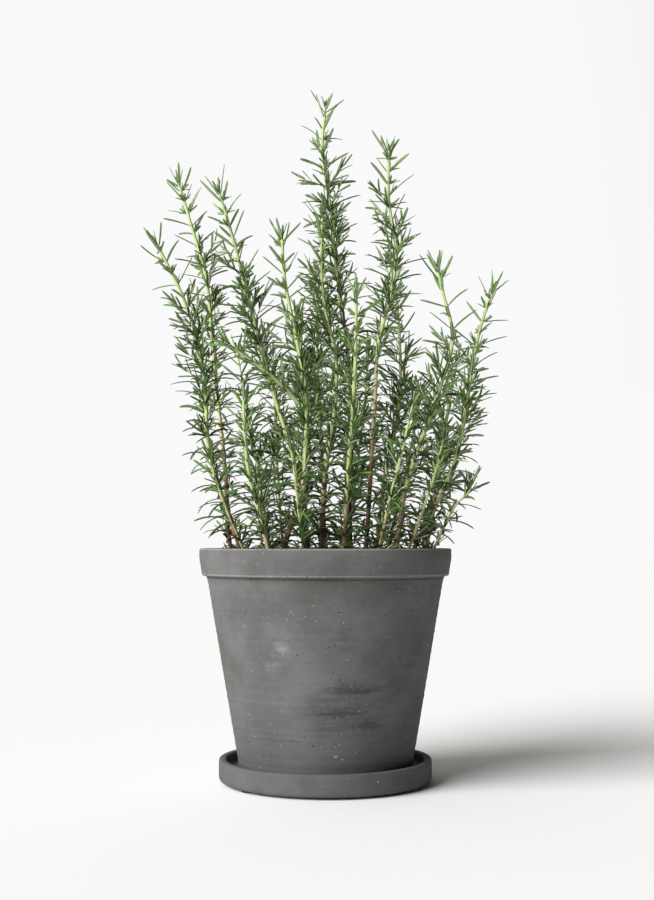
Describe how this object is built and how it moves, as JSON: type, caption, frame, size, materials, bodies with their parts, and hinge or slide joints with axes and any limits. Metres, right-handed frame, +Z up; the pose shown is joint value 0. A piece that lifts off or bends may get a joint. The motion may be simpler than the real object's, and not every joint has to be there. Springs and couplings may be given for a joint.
{
  "type": "potted rosemary",
  "caption": "Upright rosemary with needle-leaved stems in a tapered dark grey clay pot with a rim band, standing on a matching round saucer.",
  "frame": {"origin": "on the pot's axis, in the plane that the saucer's pads stand on", "axes": "+Z up along the pot's axis, -Y towards the front, +X to the right seen from the front"},
  "size_m": [0.3476, 0.2808, 0.661],
  "materials": {
    "charcoal_clay": "unglazed dark grey clay, matt, fine white specks and small pits, faint throwing lines",
    "pad_rubber": "matt black rubber",
    "net_plastic": "dark moulded plastic mesh",
    "drainage_stone": "coarse pale stones",
    "potting_mix": "dark brown bark and peat mix, crumbly, with pale grains",
    "rosemary_leaf": "dark green leathery needle leaves, slightly glossy above, pale grey green below",
    "rosemary_stem": "yellow green young stem turning pinkish brown and woody at the base"
  },
  "bodies": {
    "root": {"saucer_pad_1": "pad_rubber", "saucer_pad_2": "pad_rubber", "saucer_pad_3": "pad_rubber", "saucer": "charcoal_clay", "pot": "charcoal_clay", "drain_net": "net_plastic", "drainage_gravel": "drainage_stone", "potting_soil": "potting_mix", "shoot_left_outer": "rosemary_leaf", "shoot_left_tall": "rosemary_leaf", "shoot_left_inner": "rosemary_leaf", "shoot_front_forked": "rosemary_leaf", "shoot_centre_tallest": "rosemary_leaf", "shoot_centre_left": "rosemary_leaf", "shoot_centre_front": "rosemary_leaf", "shoot_right_tall": "rosemary_leaf", "shoot_right_shaded": "rosemary_leaf", "shoot_right_arched": "rosemary_leaf", "shoot_right_outer": "rosemary_leaf", "shoot_right_low": "rosemary_leaf", "shoot_left_short": "rosemary_leaf", "shoot_right_behind": "rosemary_leaf", "shoot_back_left": "rosemary_leaf", "shoot_back_centre": "rosemary_leaf", "shoot_back_right": "rosemary_leaf", "shoot_back_right_outer": "rosemary_leaf", "shoot_front_right": "rosemary_leaf", "shoot_left_front_low": "rosemary_leaf", "shoot_middle_left": "rosemary_leaf", "shoot_middle_back": "rosemary_leaf", "shoot_front_low": "rosemary_leaf", "shoot_front_right_low": "rosemary_leaf", "branch_front_left": "rosemary_leaf"}
  },
  "joints": []
}
